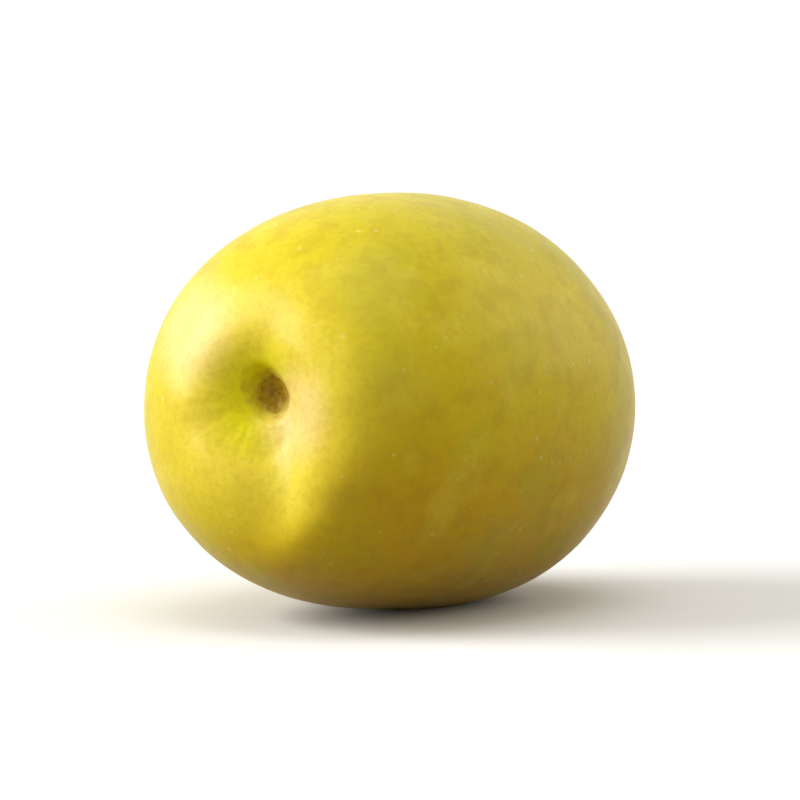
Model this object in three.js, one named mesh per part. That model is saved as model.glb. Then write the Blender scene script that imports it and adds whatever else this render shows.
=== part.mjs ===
// One green table olive, cured whole: the stone is inside and the stalk is off.
// Millimetres, +Z up. The long axis lies along X with the stem end toward -X and a little raised,
// as the fruit settles when it is set down. The origin is on the surface, under the fruit's middle.

import * as THREE from 'three';
import { mergeVertices } from 'three/addons/utils/BufferGeometryUtils.js';

const degrees = Math.PI / 180;

// The body: a blunt oval, squarer at the stem end than at the tip, and squarest there on one side.
const BELLY_RADIUS = 9.6;
const HALF_LENGTH = 12.7; // before the stem hollow is pressed in
const BLUNTNESS = 2.36; // 2 is an ellipse, more is squarer in the shoulders
const STEM_BLUNTNESS = 0.18; // added at the stem end and taken off at the tip
const LOWER_BLUNTNESS = 0.14; // added to the stem end's lower shoulder and taken off its upper one
const SIDE_BLUNTNESS = 0.65; // added to the stem end's shoulder on one side
const SIDE_TURN = -20 * degrees;

// What makes it a grown fruit and not a turned one.
const OVAL_SHARE = 0.012; // of the radius, flattening the section from two sides
const OVAL_TURN = 12 * degrees;
const THREE_SIDED_SHARE = 0.006;
const THREE_SIDED_TURN = 70 * degrees;
const BOW = 0.3; // how far both ends lean to one side

// The hollow that the stalk grew in. Shifts are from the fruit's axis, seen from the stem end.
const HOLLOW_DEPTH = 1.9;
const HOLLOW_RADIUS = 2.15;
const HOLLOW_SHIFT_RIGHT = 0.65;
const HOLLOW_SHIFT_UP = 0.05;

// The scar at the bottom of the hollow, a small oval pit.
const SCAR_RADIUS = 0.92;
const SCAR_OVAL_SHARE = 0.16;
const SCAR_OVAL_TURN = 115 * degrees;
const SCAR_DEPTH = 0.65;
const SCAR_WALL = 0.2;
const SCAR_SHIFT_RIGHT = 0.6;
const SCAR_SHIFT_UP = 0.4;

// A broad furrow leaves the hollow and runs down the shoulder, steeper on its right side.
const FURROW_DEPTH = 0.75;
const FURROW_LEFT_WIDTH = 2.5;
const FURROW_RIGHT_WIDTH = 1.75;
const FURROW_START_RADIUS = 1;
const FURROW_END_RADIUS = 8;
const FURROW_START_TURN = -33 * degrees;
const FURROW_END_TURN = -92 * degrees;
const FURROW_RISE_SHARE = 0.25; // of its run, to full depth
const FURROW_FALL_SHARE = 0.7; // of its run, back out to the skin

// Low folds where the skin gathers round the hollow: count, share of the height, turn.
const FOLD_HEIGHT = 0.08;
const FOLD_RADIUS = 3.4;
const FOLD_WIDTH = 1.7;
const FOLD_WAVES = [
  { count: 3, share: 0.55, turn: 60 * degrees },
  { count: 5, share: 0.45, turn: 200 * degrees },
  { count: 8, share: 0.25, turn: 20 * degrees },
];

// A low rib curls down round the furrow, and a faint trough follows it on the outside.
const RIB_HEIGHT = 0.28;
const RIB_WIDTH = 1.2;
const RIB_START_RADIUS = 5.9;
const RIB_END_RADIUS = 8;
const RIB_START_TURN = 45 * degrees;
const RIB_END_TURN = -105 * degrees;
const RIB_FADE_SHARE = 0.3; // of its length, at each end
const TROUGH_DEPTH = 0.1;
const TROUGH_DISTANCE = 2.2;

// The tip, with the dot that the flower left.
const TIP_POINT_HEIGHT = 0.28;
const TIP_POINT_RADIUS = 1.9;
const TIP_DOT_DEPTH = 0.12;
const TIP_DOT_RADIUS = 0.4;

// How it lies: stem end raised, and the skin pressed flat where it bears on the surface.
const REST_TILT = 5.5 * degrees;
const PRESSED_DEPTH = 0.24;

// Faces: more rings toward the two ends, where the form is fine, and the first ones round the scar.
const FACES_ROUND = 64;
const RINGS = 52;
const RING_CROWDING = 0.12;
const RING_SHIFT_FADE = 0.4; // radians along, over which the rings come back to the axis

const OLIVE_SKIN = new THREE.MeshStandardMaterial({
  name: 'olive_skin',
  color: 0xc8b02e,
  roughness: 0.34,
  metalness: 0,
});

const bell = (distance, width) => Math.exp(-((distance / width) ** 2));

const smoothStep = (value) => {
  const clipped = Math.min(1, Math.max(0, value));
  return clipped * clipped * (3 - 2 * clipped);
};

const turnBetween = (from, to) => Math.atan2(Math.sin(to - from), Math.cos(to - from));

// Distance along the axis and from it. `along` runs from 0 at the stem to PI at the tip, and
// `around` turns about the axis, a quarter turn being the top.
function bodySection(along, around) {
  const cosine = Math.cos(along);
  const sine = Math.sin(along);
  const stemward = Math.max(cosine, 0);
  const lower = LOWER_BLUNTNESS * stemward * Math.sin(around);
  const side = SIDE_BLUNTNESS * stemward * ((1 + Math.cos(around - SIDE_TURN)) / 2) ** 2;
  const power = BLUNTNESS + STEM_BLUNTNESS * cosine - lower + side;
  const sum = (Math.abs(cosine) / HALF_LENGTH) ** power + (sine / BELLY_RADIUS) ** power;
  const reach = sum ** (-1 / power);
  return { axial: reach * cosine, radius: reach * sine };
}

function outOfRound(along, around) {
  const oval = OVAL_SHARE * Math.cos(2 * (around - OVAL_TURN));
  const threeSided = THREE_SIDED_SHARE * Math.cos(3 * (around - THREE_SIDED_TURN));
  return 1 + Math.sin(along) ** 2 * (oval + threeSided);
}

function stemHollow(radius, around) {
  const right = radius * Math.cos(around) - HOLLOW_SHIFT_RIGHT;
  const up = radius * Math.sin(around) - HOLLOW_SHIFT_UP;
  return HOLLOW_DEPTH * bell(Math.hypot(right, up), HOLLOW_RADIUS);
}

function pastScarEdge(radius, around) {
  const right = radius * Math.cos(around) - SCAR_SHIFT_RIGHT;
  const up = radius * Math.sin(around) - SCAR_SHIFT_UP;
  const oval = SCAR_OVAL_SHARE * Math.cos(2 * (Math.atan2(up, right) - SCAR_OVAL_TURN));
  return Math.hypot(right, up) - SCAR_RADIUS * (1 + oval);
}

function stemScar(radius, around) {
  return SCAR_DEPTH / (1 + Math.exp(pastScarEdge(radius, around) / SCAR_WALL));
}

function furrow(radius, around) {
  const distance = (radius - FURROW_START_RADIUS) / (FURROW_END_RADIUS - FURROW_START_RADIUS);
  const run = Math.min(1, Math.max(0, distance));
  const turn = FURROW_START_TURN + (FURROW_END_TURN - FURROW_START_TURN) * run;
  const across = radius * turnBetween(turn, around);
  const width = across < 0 ? FURROW_LEFT_WIDTH : FURROW_RIGHT_WIDTH;
  const fade = smoothStep(run / FURROW_RISE_SHARE) * smoothStep((1 - run) / FURROW_FALL_SHARE);
  return FURROW_DEPTH * bell(across, width) * fade;
}

function skinFolds(radius, around) {
  let wave = 0;
  for (const { count, share, turn } of FOLD_WAVES) {
    wave += share * Math.cos(count * around - turn);
  }
  const outsideScar = smoothStep(pastScarEdge(radius, around) / SCAR_RADIUS);
  return FOLD_HEIGHT * wave * outsideScar * bell(radius - FOLD_RADIUS, FOLD_WIDTH);
}

function shoulderRib(radius, around) {
  const sweep = turnBetween(around, RIB_START_TURN) / (RIB_START_TURN - RIB_END_TURN);
  const crest = RIB_START_RADIUS + (RIB_END_RADIUS - RIB_START_RADIUS) * sweep ** 3;
  const rib = RIB_HEIGHT * bell(radius - crest, RIB_WIDTH);
  const trough = TROUGH_DEPTH * bell(radius - crest - TROUGH_DISTANCE, RIB_WIDTH);
  const fade = smoothStep(sweep / RIB_FADE_SHARE) * smoothStep((1 - sweep) / RIB_FADE_SHARE);
  return (rib - trough) * fade;
}

function stemRelief(radius, around) {
  const raised = shoulderRib(radius, around) + skinFolds(radius, around);
  return raised - stemHollow(radius, around) - stemScar(radius, around) - furrow(radius, around);
}

function tipPoint(radius) {
  const point = TIP_POINT_HEIGHT * bell(radius, TIP_POINT_RADIUS);
  return point - TIP_DOT_DEPTH * bell(radius, TIP_DOT_RADIUS);
}

// A point of the skin, with the axis along X and the stem end at -X.
function skinPoint(along, around) {
  const { axial, radius } = bodySection(along, around);
  const atStemEnd = along < Math.PI / 2;
  const lengthwise = axial + (atStemEnd ? stemRelief(radius, around) : -tipPoint(radius));
  const sidewise = radius * outOfRound(along, around);
  const lean = BOW * (axial / HALF_LENGTH) ** 2;
  return new THREE.Vector3(-lengthwise, lean - sidewise * Math.cos(around), sidewise * Math.sin(around));
}

// Shifts the rings near the stem end so that they run round the scar and not round the axis.
function ringsRoundScar(along, around) {
  const shift = bell(along, RING_SHIFT_FADE) / HALF_LENGTH;
  const right = along * Math.cos(around) + shift * SCAR_SHIFT_RIGHT;
  const up = along * Math.sin(around) + shift * SCAR_SHIFT_UP;
  return { along: Math.min(Math.PI, Math.hypot(right, up)), around: Math.atan2(up, right) };
}

// A ball's faces, with every corner moved to its place on the skin.
function skinGeometry() {
  const geometry = new THREE.SphereGeometry(1, FACES_ROUND, RINGS);
  const corners = geometry.attributes.position;
  const places = geometry.attributes.uv;
  for (let corner = 0; corner < corners.count; corner += 1) {
    const share = 1 - places.getY(corner);
    const ringAlong = Math.PI * (share - RING_CROWDING * Math.sin(2 * Math.PI * share));
    const { along, around } = ringsRoundScar(ringAlong, 2 * Math.PI * places.getX(corner));
    const point = skinPoint(along, around);
    corners.setXYZ(corner, point.x, point.y, point.z);
  }
  geometry.deleteAttribute('uv');
  geometry.deleteAttribute('normal');
  return mergeVertices(geometry);
}

function pressFlatUnderneath(geometry) {
  geometry.computeBoundingBox();
  const floor = geometry.boundingBox.min.z + PRESSED_DEPTH;
  const corners = geometry.attributes.position;
  for (let corner = 0; corner < corners.count; corner += 1) {
    corners.setZ(corner, Math.max(corners.getZ(corner), floor));
  }
}

function standOnOrigin(geometry) {
  geometry.computeBoundingBox();
  const { min, max } = geometry.boundingBox;
  geometry.translate(-(min.x + max.x) / 2, -(min.y + max.y) / 2, -min.z);
}

const skin = skinGeometry();
skin.rotateY(REST_TILT);
pressFlatUnderneath(skin);
standOnOrigin(skin);
skin.computeVertexNormals();

const olive = new THREE.Mesh(skin, OLIVE_SKIN);
olive.name = 'olive';

const part = new THREE.Group();
part.add(olive);

export default part;
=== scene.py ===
import math

import bpy
import numpy as np
from mathutils import Euler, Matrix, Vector, noise


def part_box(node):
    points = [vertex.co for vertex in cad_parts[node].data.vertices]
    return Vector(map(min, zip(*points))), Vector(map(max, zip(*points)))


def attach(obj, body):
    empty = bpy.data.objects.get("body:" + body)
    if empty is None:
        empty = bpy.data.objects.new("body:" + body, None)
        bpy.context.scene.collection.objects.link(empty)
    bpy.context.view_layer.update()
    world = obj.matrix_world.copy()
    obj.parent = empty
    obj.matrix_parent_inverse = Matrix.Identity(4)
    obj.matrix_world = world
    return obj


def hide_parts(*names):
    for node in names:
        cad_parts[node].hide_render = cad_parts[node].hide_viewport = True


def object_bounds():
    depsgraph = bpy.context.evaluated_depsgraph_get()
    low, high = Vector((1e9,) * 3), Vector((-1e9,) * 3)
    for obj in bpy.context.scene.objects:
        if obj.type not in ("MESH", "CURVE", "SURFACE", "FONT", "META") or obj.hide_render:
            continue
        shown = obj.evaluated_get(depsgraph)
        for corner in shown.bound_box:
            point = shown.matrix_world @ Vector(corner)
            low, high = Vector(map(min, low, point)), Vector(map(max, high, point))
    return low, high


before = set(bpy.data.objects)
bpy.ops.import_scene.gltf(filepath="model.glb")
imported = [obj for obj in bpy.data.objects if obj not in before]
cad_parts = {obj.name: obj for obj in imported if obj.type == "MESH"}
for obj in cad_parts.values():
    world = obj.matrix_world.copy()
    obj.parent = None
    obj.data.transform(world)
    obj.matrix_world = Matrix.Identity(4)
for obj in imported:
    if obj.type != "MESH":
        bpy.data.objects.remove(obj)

cad_low, cad_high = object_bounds()

# ---------------------------------------------------------------------------------------------
# The olive
# A whole green table olive, stone in and stalk off, grown as one piece and cured in brine.
# It is firm flesh in a waxy skin, a blunt oval that lies loose on its side with the stem end
# toward -X and a little raised. The skin is one closed sheet, so the whole fruit is one mesh.

MM = 0.001

# Its form, in millimetres: squarer at the stem end than at the tip, and squarest on one side.
BELLY_RADIUS = 9.6
HALF_LENGTH = 12.7  # before the stem hollow is pressed in
BLUNTNESS = 2.36  # 2 is an ellipse, more is squarer in the shoulders
STEM_BLUNTNESS = 0.18  # added at the stem end and taken off at the tip
LOWER_BLUNTNESS = 0.14  # added to the stem end's lower shoulder and taken off its upper one
SIDE_BLUNTNESS = 0.65  # added to the stem end's shoulder on one side
SIDE_TURN = math.radians(-20)

# What makes it a grown fruit and not a turned one.
OVAL_SHARE = 0.012  # of the radius, flattening the section from two sides
OVAL_TURN = math.radians(12)
THREE_SIDED_SHARE = 0.006
THREE_SIDED_TURN = math.radians(70)
BOW = 0.3  # how far both ends lean to one side


def bell(distance, width):
    return np.exp(-((distance / width) ** 2))


def smooth_step(value):
    clipped = np.clip(value, 0, 1)
    return clipped * clipped * (3 - 2 * clipped)


def body_section(along, around):
    """Distance along the axis and from it, where along runs from 0 at the stem to pi at the tip."""
    cosine, sine = np.cos(along), np.sin(along)
    stemward = np.maximum(cosine, 0)
    power = BLUNTNESS + STEM_BLUNTNESS * cosine - LOWER_BLUNTNESS * stemward * np.sin(around)
    power = power + SIDE_BLUNTNESS * stemward * ((1 + np.cos(around - SIDE_TURN)) / 2) ** 2
    total = (np.abs(cosine) / HALF_LENGTH) ** power + (sine / BELLY_RADIUS) ** power
    reach = total ** (-1 / power)
    return reach * cosine, reach * sine


def out_of_round(along, around):
    oval = OVAL_SHARE * np.cos(2 * (around - OVAL_TURN))
    three_sided = THREE_SIDED_SHARE * np.cos(3 * (around - THREE_SIDED_TURN))
    return 1 + np.sin(along) ** 2 * (oval + three_sided)


# Its stem hollow, where the stalk grew, and the small corky scar at the bottom, where it broke
# off. Shifts are from the fruit's axis, as seen from the stem end.
HOLLOW_DEPTH = 1.9
HOLLOW_RADIUS = 2.15
HOLLOW_SHIFT_RIGHT = 0.65
HOLLOW_SHIFT_UP = 0.05
SCAR_SHIFT_RIGHT = 0.6
SCAR_SHIFT_UP = 0.4
SCAR_RADIUS = 0.92
SCAR_OVAL_SHARE = 0.16
SCAR_OVAL_TURN = math.radians(115)
SCAR_DEPTH = 0.65
SCAR_WALL = 0.2
SCAR_LIP_HEIGHT = 0.05
SCAR_LIP_DISTANCE = 0.4
SCAR_LIP_WIDTH = 0.2


def place_from(radius, around, shift_right, shift_up):
    """A place on the stem end, to the right and up from a shifted middle."""
    return radius * np.cos(around) - shift_right, radius * np.sin(around) - shift_up


def stem_hollow(radius, around):
    right, up = place_from(radius, around, HOLLOW_SHIFT_RIGHT, HOLLOW_SHIFT_UP)
    return HOLLOW_DEPTH * bell(np.hypot(right, up), HOLLOW_RADIUS)


def past_scar_edge(radius, around):
    """Distance outward from the scar's oval edge."""
    right, up = place_from(radius, around, SCAR_SHIFT_RIGHT, SCAR_SHIFT_UP)
    oval = SCAR_OVAL_SHARE * np.cos(2 * (np.arctan2(up, right) - SCAR_OVAL_TURN))
    return np.hypot(right, up) - SCAR_RADIUS * (1 + oval)


def stem_scar(radius, around):
    past_edge = past_scar_edge(radius, around)
    lip = SCAR_LIP_HEIGHT * bell(past_edge - SCAR_LIP_DISTANCE, SCAR_LIP_WIDTH)
    return SCAR_DEPTH / (1 + np.exp(past_edge / SCAR_WALL)) - lip


# Its furrow, which leaves the hollow and runs down the shoulder, steeper on its right side.
FURROW_DEPTH = 0.75
FURROW_LEFT_WIDTH = 2.5
FURROW_RIGHT_WIDTH = 1.75
FURROW_START_RADIUS = 1.0
FURROW_END_RADIUS = 8.0
FURROW_START_TURN = math.radians(-33)
FURROW_END_TURN = math.radians(-92)
FURROW_RISE_SHARE = 0.25  # of its run, to full depth
FURROW_FALL_SHARE = 0.7  # of its run, back out to the skin


def turn_from(start, around):
    return np.arctan2(np.sin(around - start), np.cos(around - start))


def furrow(radius, around):
    distance = (radius - FURROW_START_RADIUS) / (FURROW_END_RADIUS - FURROW_START_RADIUS)
    run = np.clip(distance, 0, 1)
    turn = FURROW_START_TURN + (FURROW_END_TURN - FURROW_START_TURN) * run
    across = radius * turn_from(turn, around)
    section = bell(across, np.where(across < 0, FURROW_LEFT_WIDTH, FURROW_RIGHT_WIDTH))
    fade = smooth_step(run / FURROW_RISE_SHARE) * smooth_step((1 - run) / FURROW_FALL_SHARE)
    return FURROW_DEPTH * section * fade


# Its folds, where the skin gathers round the hollow, and fine puckers round the scar. Each wave
# has a count round the stem, a share of the height and a turn.
FOLD_HEIGHT = 0.08
FOLD_RADIUS = 3.4
FOLD_WIDTH = 1.7
FOLD_WAVES = (
    (3, 0.55, math.radians(60)),
    (5, 0.45, math.radians(200)),
    (8, 0.25, math.radians(20)),
)
PUCKER_HEIGHT = 0.012
PUCKER_RADIUS = 1.9
PUCKER_WIDTH = 0.9
PUCKER_WAVES = ((13, 0.5, 0.4), (19, 0.35, 2.2), (29, 0.3, 4.1))


def gathers(radius, around, height, waves, middle_radius, width):
    wave = sum(share * np.cos(count * around - turn) for count, share, turn in waves)
    return height * wave * bell(radius - middle_radius, width)


def skin_folds(radius, around):
    folds = gathers(radius, around, FOLD_HEIGHT, FOLD_WAVES, FOLD_RADIUS, FOLD_WIDTH)
    puckers = gathers(radius, around, PUCKER_HEIGHT, PUCKER_WAVES, PUCKER_RADIUS, PUCKER_WIDTH)
    return (folds + puckers) * smooth_step(past_scar_edge(radius, around) / SCAR_RADIUS)


# Its low rib, which curls down round the furrow, with a faint trough along its outside.
RIB_HEIGHT = 0.28
RIB_WIDTH = 1.2
RIB_START_RADIUS = 5.9
RIB_END_RADIUS = 8.0
RIB_START_TURN = math.radians(45)
RIB_END_TURN = math.radians(-105)
RIB_FADE_SHARE = 0.3  # of its length, at each end
TROUGH_DEPTH = 0.1
TROUGH_DISTANCE = 2.2


def shoulder_rib(radius, around):
    sweep = -turn_from(RIB_START_TURN, around) / (RIB_START_TURN - RIB_END_TURN)
    across = radius - (RIB_START_RADIUS + (RIB_END_RADIUS - RIB_START_RADIUS) * sweep ** 3)
    rib = RIB_HEIGHT * bell(across, RIB_WIDTH)
    trough = TROUGH_DEPTH * bell(across - TROUGH_DISTANCE, RIB_WIDTH)
    fade = smooth_step(sweep / RIB_FADE_SHARE) * smooth_step((1 - sweep) / RIB_FADE_SHARE)
    return (rib - trough) * fade


# Its tip: the far end draws out to a low point, with the small dry dot that the flower left.
TIP_POINT_HEIGHT = 0.28
TIP_POINT_RADIUS = 1.9
TIP_DOT_DEPTH = 0.12
TIP_DOT_RADIUS = 0.4


def tip_point(radius):
    point = TIP_POINT_HEIGHT * bell(radius, TIP_POINT_RADIUS)
    return point - TIP_DOT_DEPTH * bell(radius, TIP_DOT_RADIUS)


def skin_points(along, around):
    """The skin with its axis along X and the stem end at -X, before its unevenness."""
    axial, radius = body_section(along, around)
    raised = shoulder_rib(radius, around) + skin_folds(radius, around)
    sunken = stem_hollow(radius, around) + stem_scar(radius, around) + furrow(radius, around)
    lengthwise = axial + np.where(along < math.pi / 2, raised - sunken, -tip_point(radius))
    sidewise = radius * out_of_round(along, around)
    lean = BOW * (axial / HALF_LENGTH) ** 2
    y, z = lean - sidewise * np.cos(around), sidewise * np.sin(around)
    return np.stack([-lengthwise, y, z], axis=-1)


# Its skin is a little uneven all over, from broad swells to a fine peel: length, height, shift
# of the pattern.
UNEVENNESS = (
    (7.5, 0.100, Vector((31.7, 12.9, 54.3))),
    (2.4, 0.026, Vector((-31.7, -12.9, -54.3))),
    (0.85, 0.007, Vector((8.1, 77.3, -20.6))),
)

# Crumbly relief of the dry cork in the scar and on the flower's dot: length, height, shift.
CRUMBLE = (
    (0.55, 0.07, Vector((3.3, -8.2, 5.9))),
    (0.24, 0.03, Vector((-9.1, 4.4, 2.6))),
)
CORK_FADE = 0.35  # how wide the edge of the cork is

# Shallow dents where other fruit lay against it, and lumps where the depth is negative: share of
# the way to the tip, turn round the axis, depth, width.
DENTS = (
    (0.42, math.radians(28), 0.10, 3.4),
    (0.63, math.radians(-38), 0.09, 2.8),
    (0.55, math.radians(95), 0.11, 3.8),
    (0.36, math.radians(170), 0.10, 3.0),
    (0.70, math.radians(200), 0.08, 2.6),
    (0.58, math.radians(240), 0.06, 1.6),
    (0.148, math.radians(-4), -0.10, 1.0),
    (0.175, math.radians(-24), 0.06, 1.0),
    (0.132, math.radians(32), 0.05, 1.2),
    (0.150, math.radians(-50), -0.05, 0.8),
)


def cork_share(along, around):
    """1 on the dry cork of the scar and of the flower's dot, easing to 0 on the skin round it."""
    radius = body_section(along, around)[1]
    past_dot_edge = radius - TIP_DOT_RADIUS
    past_edge = np.where(along < math.pi / 2, past_scar_edge(radius, around), past_dot_edge)
    return smooth_step(0.5 - past_edge / CORK_FADE)


def relief(points, layers, share):
    """Layers of noise over the skin, as strong as the share at each point."""
    heights = np.zeros(points.shape[:2])
    for ring, column in zip(*np.nonzero(share)):
        place = Vector(points[ring, column])
        height = sum(high * noise.noise(place / length + shift) for length, high, shift in layers)
        heights[ring, column] = share[ring, column] * height
    return heights


def dents(points):
    depth = np.zeros(points.shape[:2])
    for share, turn, deep, width in DENTS:
        centre = skin_points(np.array([[math.pi * share]]), np.array([[turn]]))[0, 0]
        depth += deep * bell(np.linalg.norm(points - centre, axis=-1), width)
    return depth


NO_LENGTH = 1e-9


def outward(points):
    """The direction out of the skin at each point of the grid of rings."""
    along_skin = np.gradient(points, axis=0)
    round_skin = np.roll(points, -1, axis=1) - np.roll(points, 1, axis=1)
    normal = np.cross(round_skin, along_skin)
    length = np.linalg.norm(normal, axis=-1, keepdims=True)
    normal = normal / np.maximum(length, NO_LENGTH)
    # The first and last rings are single points, which have no direction round the skin.
    normal[0], normal[-1] = (-1, 0, 0), (1, 0, 0)
    return normal


# Its sheet of faces: rings from the stem scar to the tip, closer together toward both ends.
RINGS = 260
COLUMNS = 288
RING_CROWDING = 0.12
RING_SHIFT_FADE = 0.4  # radians along, over which the rings come back to the axis


def rings_round_scar(along, around):
    """Shifts the rings near the stem end so that they run round the scar and not round the axis."""
    shift = bell(along, RING_SHIFT_FADE) / HALF_LENGTH
    right = along * np.cos(around) + shift * SCAR_SHIFT_RIGHT
    up = along * np.sin(around) + shift * SCAR_SHIFT_UP
    return np.minimum(math.pi, np.hypot(right, up)), np.arctan2(up, right)


share_down = np.linspace(0, 1, RINGS + 1)[:, None]
along_grid = math.pi * (share_down - RING_CROWDING * np.sin(2 * math.pi * share_down))
around_grid = 2 * math.pi * np.arange(COLUMNS)[None, :] / COLUMNS
along_grid, around_grid = rings_round_scar(along_grid, around_grid)
skin = skin_points(along_grid, around_grid)
everywhere = np.ones(skin.shape[:2])
raised_skin = relief(skin, UNEVENNESS, everywhere) - dents(skin)
raised_skin += relief(skin, CRUMBLE, cork_share(along_grid, around_grid))
skin += outward(skin) * raised_skin[..., None]
skin[0], skin[-1] = skin[0].mean(0), skin[-1].mean(0)

# It lies with the stem end raised, pressed flat where it bears on the surface.
REST_TILT = math.radians(5.5)
PRESSED_DEPTH = 0.24

tilt = Euler((0, REST_TILT, 0)).to_matrix()
skin = skin @ np.array(tilt).T
skin[..., 2] = np.maximum(skin[..., 2], skin[..., 2].min() + PRESSED_DEPTH)

cad_olive_low, cad_olive_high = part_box("olive")
skin_low, skin_high = skin.min((0, 1)), skin.max((0, 1))
fruit_centre = (cad_olive_low + cad_olive_high) / 2 / MM - Vector((skin_low + skin_high) / 2)
fruit_centre.z = cad_olive_low.z / MM - skin_low[2]
skin += np.array(fruit_centre)

stem_pole, tip_pole, first_on_rings = 0, 1, 2
corners = [tuple(skin[0, 0] * MM), tuple(skin[-1, 0] * MM)]
corners += [tuple(point) for point in skin[1:-1].reshape(-1, 3) * MM]


def corner_at(ring, column):
    return first_on_rings + (ring - 1) * COLUMNS + column % COLUMNS


# The faces, and where each of their corners lies on the unrolled skin.
faces, places = [], []
for column in range(COLUMNS):
    left, right = column / COLUMNS, (column + 1) / COLUMNS
    faces.append((stem_pole, corner_at(1, column), corner_at(1, column + 1)))
    places += [((left + right) / 2, 1), (left, 1 - 1 / RINGS), (right, 1 - 1 / RINGS)]
    for ring in range(1, RINGS - 1):
        upper, lower = 1 - ring / RINGS, 1 - (ring + 1) / RINGS
        faces.append((
            corner_at(ring, column), corner_at(ring + 1, column),
            corner_at(ring + 1, column + 1), corner_at(ring, column + 1),
        ))
        places += [(left, upper), (left, lower), (right, lower), (right, upper)]
    faces.append((corner_at(RINGS - 1, column), tip_pole, corner_at(RINGS - 1, column + 1)))
    places += [(left, 1 / RINGS), ((left + right) / 2, 0), (right, 1 / RINGS)]

olive_mesh = bpy.data.meshes.new("olive_skin")
olive_mesh.from_pydata(corners, [], faces)
wrap = olive_mesh.uv_layers.new(name="OFBake")
wrap.data.foreach_set("uv", np.array(places).ravel())
olive_mesh.shade_smooth()
olive = bpy.data.objects.new("green_olive", olive_mesh)
bpy.context.collection.objects.link(olive)

# Its colours: yellow-green going to a darker gold on the lower side, which is painted shade,
# clouded with greener and paler patches, with painted light and painted highlights at the stem
# end, and dry cork in the scar and on the flower's dot.
LEMON, YELLOW, SHADE_GOLD = "cbb916", "cab50e", "cba406"
GREENER, PALER, BRUISED, STIPPLE = "b3aa14", "d9c63c", "ad8a10", "a89a0c"
# At the stem end: paler round the hollow; greener and lighter in the hollow, partly painted light;
# tan, partly a painted highlight; and a painted highlight on one shoulder.
ROUND_STEM, GREEN_HOLLOW_PAINTED_LIGHT, TAN_AND_HIGHLIGHT, PAINTED_HIGHLIGHT = "e0cc44", "d6cd00", "e0bb8c", "efd9a0"
CORK, DARK_CORK, CRUMB, FLOWER_DOT = "a8872a", "a67e06", "6a4e12", "6b4f22"
PORE, FRECKLE = "e2d77c", "8c6a22"

skin_paint = bpy.data.materials.new("olive_skin")
skin_paint.use_nodes = True
nodes, links = skin_paint.node_tree.nodes, skin_paint.node_tree.links
shader = nodes["Principled BSDF"]


def colour(card):
    """A colour card such as b7a43a as the shader's linear numbers, by the sRGB curve."""
    parts = [int(card[i:i + 2], 16) / 255 for i in (0, 2, 4)]
    return [c / 12.92 if c <= 0.04045 else ((c + 0.055) / 1.055) ** 2.4 for c in parts] + [1]


def node(kind, **settings):
    made = nodes.new(kind)
    for name, value in settings.items():
        setattr(made, name, value)
    return made


def wire(value, socket):
    """Joins an output to a socket, or sets a plain value on it."""
    if isinstance(value, bpy.types.NodeSocket):
        links.new(value, socket)
    else:
        socket.default_value = value


def maths(operation, a, b=0.0, clamp=False):
    made = node("ShaderNodeMath", operation=operation, use_clamp=clamp)
    wire(a, made.inputs[0])
    wire(b, made.inputs[1])
    return made.outputs[0]


def between(value, low, high, start=0.0, end=1.0):
    """Eases from start to end while value goes from low to high."""
    made = node("ShaderNodeMapRange", interpolation_type="SMOOTHSTEP")
    for socket, number in zip(made.inputs, (value, low, high, start, end)):
        wire(number, socket)
    return made.outputs[0]


def painted(under, card, mask, strength=1.0):
    """Lays a colour card over what is under it, as far as the mask goes."""
    made = node("ShaderNodeMix", data_type="RGBA")
    wire(maths("MULTIPLY", mask, strength), made.inputs["Factor"])
    wire(under, made.inputs["A"])
    wire(colour(card), made.inputs["B"])
    return made.outputs["Result"]


# Places in the skin, in millimetres along the fruit's own axes.
coordinates = node("ShaderNodeTexCoord")
to_fruit = node("ShaderNodeMapping")
untilt = tilt.transposed()
wire(coordinates.outputs["Object"], to_fruit.inputs["Vector"])
to_fruit.inputs["Scale"].default_value = (1 / MM,) * 3
to_fruit.inputs["Rotation"].default_value = untilt.to_euler()
to_fruit.inputs["Location"].default_value = -(untilt @ fruit_centre)
in_fruit = to_fruit.outputs["Vector"]

apart = node("ShaderNodeSeparateXYZ")
wire(in_fruit, apart.inputs[0])
toward_tip, sideways, upward = apart.outputs

HALVES_MEET = 1  # how far to each side of the middle the stem half passes into the tip half
stem_half = between(toward_tip, -HALVES_MEET, HALVES_MEET, 1, 0)
tip_half = between(toward_tip, -HALVES_MEET, HALVES_MEET)

SHIFT_WAY = (1, 0.7, -1)  # along which a pattern's shift moves it


def cloud(size, detail, shift):
    """Smooth noise whose blotches are about size millimetres across, from 0 to 1."""
    shifted = node("ShaderNodeVectorMath", operation="ADD")
    wire(in_fruit, shifted.inputs[0])
    shifted.inputs[1].default_value = [shift * way for way in SHIFT_WAY]
    made = node("ShaderNodeTexNoise", noise_dimensions="3D")
    wire(shifted.outputs[0], made.inputs["Vector"])
    made.inputs["Scale"].default_value = 1 / size
    made.inputs["Detail"].default_value = detail
    return made.outputs["Fac"]


def swing(pattern, reach):
    """A cloud turned into a change to both sides of 0, over the reach in all."""
    return maths("MULTIPLY", maths("SUBTRACT", cloud(*pattern), 0.5), reach)


def apart_from(right, up):
    """Distance from a line along the fruit, its place given as seen from the stem end."""
    across = maths("ADD", sideways, right - BOW)
    above = maths("SUBTRACT", upward, up)
    squared = maths("ADD", maths("MULTIPLY", across, across), maths("MULTIPLY", above, above))
    return maths("SQRT", squared)


def spot(distance, full, gone, half):
    """1 within the full radius, easing to 0 where it has gone, on one half of the fruit."""
    return maths("MULTIPLY", between(distance, full, gone, 1, 0), half)


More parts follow.
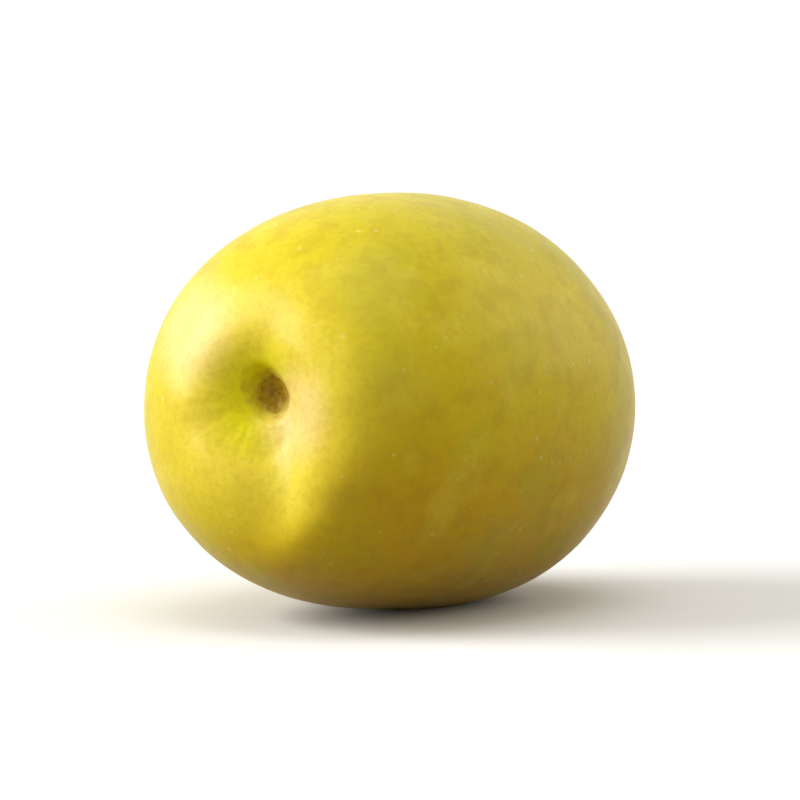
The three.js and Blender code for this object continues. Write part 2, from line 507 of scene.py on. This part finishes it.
# The ground colour, with painted light and shade: a lighter lemon on the upper side, going over to
# a darker gold on the lower side toward the tip, which stands in for shade and for the warm light
# bounced from fruit around it. Each change runs between two distances toward the painted shade
# side, and its edge wanders.
# A pattern is the size of its blotches, its fineness and its shift.
PAINTED_SHADE_SIDE = (0.15, -0.45, -0.88)
LEMON_TO_YELLOW = (-9, 1)
YELLOW_TO_SHADE_GOLD = (0, 8)
WANDER_PATTERN = (6.5, 2, 3.1)
WANDER_REACH = 14

toward_painted_shade = node("ShaderNodeVectorMath", operation="DOT_PRODUCT")
wire(in_fruit, toward_painted_shade.inputs[0])
toward_painted_shade.inputs[1].default_value = PAINTED_SHADE_SIDE
painted_shade_depth = maths("ADD", toward_painted_shade.outputs["Value"], swing(WANDER_PATTERN, WANDER_REACH))
base = painted(colour(LEMON), YELLOW, between(painted_shade_depth, *LEMON_TO_YELLOW))
# painted shade: darker, warmer gold toward the lower side
base = painted(base, SHADE_GOLD, between(painted_shade_depth, *YELLOW_TO_SHADE_GOLD))

# Clouds, from greener and paler blotches to a fine mottle in the flesh under the skin: card,
# pattern, how thick the cloud is where it starts to show and where it is full, strength.
CLOUDS = (
    (GREENER, (4.6, 3, 11.3), 0.48, 0.66, 0.5),
    (PALER, (2.6, 3, 23.9), 0.52, 0.7, 0.4),
    (BRUISED, (1.1, 4, 41.7), 0.45, 0.68, 0.3),
)
for card, pattern, start, full, strength in CLOUDS:
    base = painted(base, card, between(cloud(*pattern), start, full), strength)

# The stem end: paler round the hollow, with a painted highlight, a pale patch on one shoulder
# where the key lamp's highlight falls, greener in the hollow and lighter there, which is painted
# light that lifts the shade in it, and tan beside the scar, partly a painted highlight on the wall
# that faces the key lamp: card, shifts to the right and up, radius where it is full and where it
# has gone, strength.
STEM_SPOTS = (
    (ROUND_STEM, HOLLOW_SHIFT_RIGHT, HOLLOW_SHIFT_UP, 3.2, 7.5, 0.66),
    # a painted highlight: a pale patch where the key lamp's highlight falls on the shoulder
    (PAINTED_HIGHLIGHT, -3.4, 3.0, 0.8, 3.4, 0.55),
    # greener in the hollow, and lighter there: painted light that lifts the shade on its walls
    (GREEN_HOLLOW_PAINTED_LIGHT, HOLLOW_SHIFT_RIGHT, HOLLOW_SHIFT_UP, 1.3, 3.2, 0.95),
    # tan beside the scar, partly corky skin and partly a painted highlight on the wall that faces
    # the key lamp
    (TAN_AND_HIGHLIGHT, 2.35, -0.5, 0.8, 2.9, 0.62),
)
for card, right, up, full, gone, strength in STEM_SPOTS:
    base = painted(base, card, spot(apart_from(right, up), full, gone, stem_half), strength)

# A fine stipple all over.
STIPPLE_PATTERN = (0.32, 2, 63.1)
STIPPLE_THICKNESS = (0.42, 0.7)
STIPPLE_STRENGTH = 0.22
stippled = between(cloud(*STIPPLE_PATTERN), *STIPPLE_THICKNESS)
base = painted(base, STIPPLE, stippled, STIPPLE_STRENGTH)

# Pale pores, each of its own size and strength, and a few small brown freckles. Each speck draws
# a lot from 0 to 1 that says how much of it shows. Reaches are shares of the spacing.
PORE_SPACING = 0.62
PORE_SMALLEST_REACH = 0.08
PORE_REACH_SPREAD = 0.14
PORE_EDGE = (0.4, 1.3)  # shares of its reach
PORE_LOTS = (0.35, 0.9)
PORE_STRENGTH = 0.42
FRECKLE_SPACING = 3.1
FRECKLE_EDGE = (0.02, 0.07)
FRECKLE_LOTS = (0.55, 0.95)
FRECKLE_STRENGTH = 0.5


def speckle(spacing):
    """The distance from the nearest speck, as a share of the spacing, and the speck's lots."""
    specks = node("ShaderNodeTexVoronoi", feature="F1")
    wire(in_fruit, specks.inputs["Vector"])
    specks.inputs["Scale"].default_value = 1 / spacing
    lots = node("ShaderNodeSeparateColor")
    wire(specks.outputs["Color"], lots.inputs[0])
    return specks.outputs["Distance"], lots.outputs


from_pore, pore_lots = speckle(PORE_SPACING)
pore_spread = maths("MULTIPLY", pore_lots[0], PORE_REACH_SPREAD)
pore_reach = maths("ADD", pore_spread, PORE_SMALLEST_REACH)
pore = between(maths("DIVIDE", from_pore, pore_reach), *PORE_EDGE, 1, 0)
pore = maths("MULTIPLY", pore, between(pore_lots[1], *PORE_LOTS))
base = painted(base, PORE, pore, PORE_STRENGTH)

from_freckle, freckle_lots = speckle(FRECKLE_SPACING)
freckle = between(from_freckle, *FRECKLE_EDGE, 1, 0)
freckle = maths("MULTIPLY", freckle, between(freckle_lots[0], *FRECKLE_LOTS))
base = painted(base, FRECKLE, freckle, FRECKLE_STRENGTH)

# The dry cork: the stem's scar with its darker pit and crumbs, and the flower's dot in its ring.
# An edge is the radius where the spot is full and where it has gone, made ragged by a cloud.
SCAR_RAGGEDNESS = 1.2
SCAR_RAGGED_PATTERN = (0.8, 3, 5.3)
SCAR_EDGE = (0.6, 1.2)
SCAR_STRENGTH = 0.75
PIT_EDGE = (0.25, 0.95)
PIT_STRENGTH = 0.65
CRUMB_PATTERN = (0.3, 3, 9.7)
CRUMB_THICKNESS = (0.46, 0.6)
CRUMB_STRENGTH = 0.4
DOT_RAGGEDNESS = 1.6
DOT_RAGGED_PATTERN = (0.3, 3, 29.9)
DOT_RING_EDGE = (0.4, 1.1)
DOT_RING_STRENGTH = 0.35
DOT_EDGE = (0.16, 0.5)
DOT_STRENGTH = 0.85


def ragged(distance, pattern, raggedness):
    return maths("MULTIPLY", distance, maths("ADD", 1.0, swing(pattern, raggedness)))


from_scar = apart_from(SCAR_SHIFT_RIGHT, SCAR_SHIFT_UP)
from_scar = ragged(from_scar, SCAR_RAGGED_PATTERN, SCAR_RAGGEDNESS)
scar = spot(from_scar, *SCAR_EDGE, stem_half)
base = painted(base, CORK, scar, SCAR_STRENGTH)
base = painted(base, DARK_CORK, spot(from_scar, *PIT_EDGE, stem_half), PIT_STRENGTH)
crumbs = maths("MULTIPLY", between(cloud(*CRUMB_PATTERN), *CRUMB_THICKNESS), scar)
base = painted(base, CRUMB, crumbs, CRUMB_STRENGTH)

from_dot = ragged(apart_from(0, 0), DOT_RAGGED_PATTERN, DOT_RAGGEDNESS)
base = painted(base, CORK, spot(from_dot, *DOT_RING_EDGE, tip_half), DOT_RING_STRENGTH)
base = painted(base, FLOWER_DOT, spot(from_dot, *DOT_EDGE, tip_half), DOT_STRENGTH)
wire(base, shader.inputs["Base Color"])

# Its finish: a satin wax with a thin film of brine, wetter in some places than in others, and
# dull on the cork.
WAX_ROUGHNESS = 0.3
DRIER_PATTERN = (3.4, 2, 7.7)
DRIER_ROUGHNESS = 0.16
FINE_DRY_PATTERN = (0.45, 3, 17.1)
FINE_DRY_ROUGHNESS = 0.08
CORK_ROUGHNESS = 0.3

finish = WAX_ROUGHNESS
for patch, rougher in (
    (cloud(*DRIER_PATTERN), DRIER_ROUGHNESS),
    (cloud(*FINE_DRY_PATTERN), FINE_DRY_ROUGHNESS),
    (scar, CORK_ROUGHNESS),
):
    finish = maths("ADD", finish, maths("MULTIPLY", patch, rougher), clamp=True)
wire(finish, shader.inputs["Roughness"])

# Its finest relief: a grain all over, sunken pores, and crumbs on the cork.
GRAIN_PATTERN = (0.18, 3, 0)
GRAIN_HEIGHT = 0.016
PORE_DEPTH = 0.012
CORK_GRAIN_PATTERN = (0.35, 3, 2.9)
CORK_GRAIN_HEIGHT = 0.05

cork_grain = maths("MULTIPLY", cloud(*CORK_GRAIN_PATTERN), scar)
height = maths("MULTIPLY", cloud(*GRAIN_PATTERN), GRAIN_HEIGHT)
height = maths("ADD", height, maths("MULTIPLY", pore, -PORE_DEPTH))
height = maths("ADD", height, maths("MULTIPLY", cork_grain, CORK_GRAIN_HEIGHT))
bump = node("ShaderNodeBump")
wire(height, bump.inputs["Height"])
bump.inputs["Distance"].default_value = MM
bump.inputs["Strength"].default_value = 1.0
wire(bump.outputs["Normal"], shader.inputs["Normal"])

# Light goes a little way into the flesh, and the film of brine is the coat.
SKIN_AND_BRINE = {
    "IOR": 1.4,
    "Specular IOR Level": 0.1,
    "Subsurface Weight": 0.25,
    "Subsurface Radius": (1.0, 0.62, 0.16),
    "Subsurface Scale": 1.4 * MM,
    "Coat Weight": 0.18,
    "Coat Roughness": 0.24,
}
for socket, value in SKIN_AND_BRINE.items():
    shader.inputs[socket].default_value = value

olive_mesh.materials.append(skin_paint)
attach(olive, "root")
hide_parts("olive")

# ---------------------------------------------------------------------------------------------
# The floor
# A plain matt white sheet that the fruit lies on, flat and wide enough to fill the view.
# Further off it goes over to plain white light, so that it meets the backdrop without a line.

FLOOR_HALF_WIDTH = 1.6
FLOOR_GAP = 0.02 * MM
FADE_START = 0.03
FADE_END = 0.16
SHEET_COLOUR = (0.8, 0.8, 0.8, 1)
BOUNCE_COLOUR = (0.28, 0.245, 0.16, 1)  # what the fruit gets from the sheet, dimmer and warmer

floor_z = cad_low.z - FLOOR_GAP
floor_signs = ((-1, -1), (1, -1), (1, 1), (-1, 1))
floor_corners = [(x * FLOOR_HALF_WIDTH, y * FLOOR_HALF_WIDTH, floor_z) for x, y in floor_signs]
floor_mesh = bpy.data.meshes.new("floor")
floor_mesh.from_pydata(floor_corners, [], [(0, 1, 2, 3)])
floor = bpy.data.objects.new("floor", floor_mesh)
bpy.context.collection.objects.link(floor)

floor_paint = bpy.data.materials.new("white_sheet")
floor_paint.use_nodes = True
floor_tree = floor_paint.node_tree
floor_tree.nodes.clear()


def seen_by(tree):
    """1 for the rays that show the surroundings: the camera's, and those off gloss or glass."""
    rays = tree.nodes.new("ShaderNodeLightPath")
    seen = rays.outputs["Is Camera Ray"]
    for kind in ("Is Glossy Ray", "Is Transmission Ray"):
        either = tree.nodes.new("ShaderNodeMath")
        either.operation = "MAXIMUM"
        tree.links.new(seen, either.inputs[0])
        tree.links.new(rays.outputs[kind], either.inputs[1])
        seen = either.outputs[0]
    return seen


def mixed(tree, share, first, second):
    """Goes from the first shader to the second as the share goes from 0 to 1."""
    made = tree.nodes.new("ShaderNodeMixShader")
    for output, socket in zip((share, first, second), made.inputs):
        tree.links.new(output, socket)
    return made.outputs[0]


def matt(tree, paint):
    made = tree.nodes.new("ShaderNodeBsdfDiffuse")
    made.inputs["Color"].default_value = paint
    return made.outputs[0]


floor_place = floor_tree.nodes.new("ShaderNodeTexCoord")
floor_reach = floor_tree.nodes.new("ShaderNodeVectorMath")
floor_reach.operation = "LENGTH"
floor_tree.links.new(floor_place.outputs["Object"], floor_reach.inputs[0])
far_off = floor_tree.nodes.new("ShaderNodeMapRange")
far_off.interpolation_type = "SMOOTHSTEP"
far_off.inputs["From Min"].default_value = FADE_START
far_off.inputs["From Max"].default_value = FADE_END
floor_tree.links.new(floor_reach.outputs["Value"], far_off.inputs["Value"])
white_light = floor_tree.nodes.new("ShaderNodeEmission").outputs[0]
floor_seen = seen_by(floor_tree)
near_sheet = matt(floor_tree, SHEET_COLOUR)
seen_sheet = mixed(floor_tree, far_off.outputs["Result"], near_sheet, white_light)
sheet = mixed(floor_tree, floor_seen, matt(floor_tree, BOUNCE_COLOUR), seen_sheet)

# From underneath the sheet is clear, so that the resting side of the fruit can be looked at.
sheet_side = floor_tree.nodes.new("ShaderNodeNewGeometry")
looked_up_at = floor_tree.nodes.new("ShaderNodeMath")
looked_up_at.operation = "MULTIPLY"
floor_tree.links.new(sheet_side.outputs["Backfacing"], looked_up_at.inputs[0])
floor_tree.links.new(floor_seen, looked_up_at.inputs[1])
clear = floor_tree.nodes.new("ShaderNodeBsdfTransparent").outputs[0]
floor_out = floor_tree.nodes.new("ShaderNodeOutputMaterial")
one_way_sheet = mixed(floor_tree, looked_up_at.outputs[0], sheet, clear)
floor_tree.links.new(one_way_sheet, floor_out.inputs["Surface"])
floor_mesh.materials.append(floor_paint)

# ---------------------------------------------------------------------------------------------
# Light and camera
# A large soft lamp low on the left, weaker ones above, behind to the right and in front, and a
# pale room. The camera stands a little above the fruit, to one side of its stem end.

CAMERA_TURN = math.radians(-57)
CAMERA_RISE = math.radians(6)
LENS = 300
SENSOR = 36
NEAR_CLIP = 0.01
FAR_CLIP = 20
FRUIT_SEEN_WIDTH = 22.7 * MM
FRUIT_SHARE = 0.62  # of the width of the view

centre = (cad_low + cad_high) / 2
level_to_camera = Vector((math.sin(CAMERA_TURN), -math.cos(CAMERA_TURN), 0))
to_the_right = Vector((math.cos(CAMERA_TURN), math.sin(CAMERA_TURN), 0))


def raised_by(level, rise):
    return level * math.cos(rise) + Vector((0, 0, math.sin(rise)))


def facing(direction):
    """The turn that points a lamp or a camera back along a direction."""
    return (-direction).to_track_quat("-Z", "Y").to_euler()


toward_camera = raised_by(level_to_camera, CAMERA_RISE)
seen_width = FRUIT_SEEN_WIDTH / FRUIT_SHARE
camera_data = bpy.data.cameras.new("camera")
camera_data.lens = LENS
camera_data.sensor_width = SENSOR
camera_data.clip_start = NEAR_CLIP
camera_data.clip_end = FAR_CLIP
camera = bpy.data.objects.new("camera", camera_data)
camera.location = centre + toward_camera * (seen_width * LENS / SENSOR)
camera.rotation_euler = facing(toward_camera)
bpy.context.collection.objects.link(camera)
bpy.context.scene.camera = camera

# Each lamp's name, how far it stands to the right and toward the camera, its rise, distance,
# size and power.
LAMPS = (
    ("key", -1, 0.08, math.radians(25), 0.8, 0.6, 9.4),
    ("top", 0.1, 0.1, math.radians(84), 0.8, 0.6, 2.2),
    ("back", 1, -0.4, math.radians(26), 0.9, 0.7, 2.0),
    ("front", 0.7, 1.0, math.radians(22), 0.9, 0.6, 0.85),
)
for name, to_right, forward, rise, distance, size, power in LAMPS:
    level = (to_the_right * to_right + level_to_camera * forward).normalized()
    direction = raised_by(level, rise)
    lamp = bpy.data.lights.new(name, "AREA")
    lamp.size = size
    lamp.energy = power
    softbox = bpy.data.objects.new(name, lamp)
    softbox.location = centre + direction * distance
    softbox.rotation_euler = facing(direction)
    softbox.visible_camera = False
    bpy.context.collection.objects.link(softbox)

ROOM_COLOUR = (1.0, 0.96, 0.84, 1)
ROOM_STRENGTH = 0.5
BACKDROP_COLOUR = (1, 1, 1, 1)
BACKDROP_STRENGTH = 1.0

world = bpy.data.worlds.new("surround")
bpy.context.scene.world = world
world.use_nodes = True
world_tree = world.node_tree
world_tree.nodes.clear()


def surround(paint, strength):
    made = world_tree.nodes.new("ShaderNodeBackground")
    made.inputs["Color"].default_value = paint
    made.inputs["Strength"].default_value = strength
    return made.outputs[0]


room = surround(ROOM_COLOUR, ROOM_STRENGTH)
backdrop = surround(BACKDROP_COLOUR, BACKDROP_STRENGTH)
world_out = world_tree.nodes.new("ShaderNodeOutputWorld")
seen_world = mixed(world_tree, seen_by(world_tree), room, backdrop)
world_tree.links.new(seen_world, world_out.inputs["Surface"])

bpy.context.scene.view_settings.view_transform = "Standard"
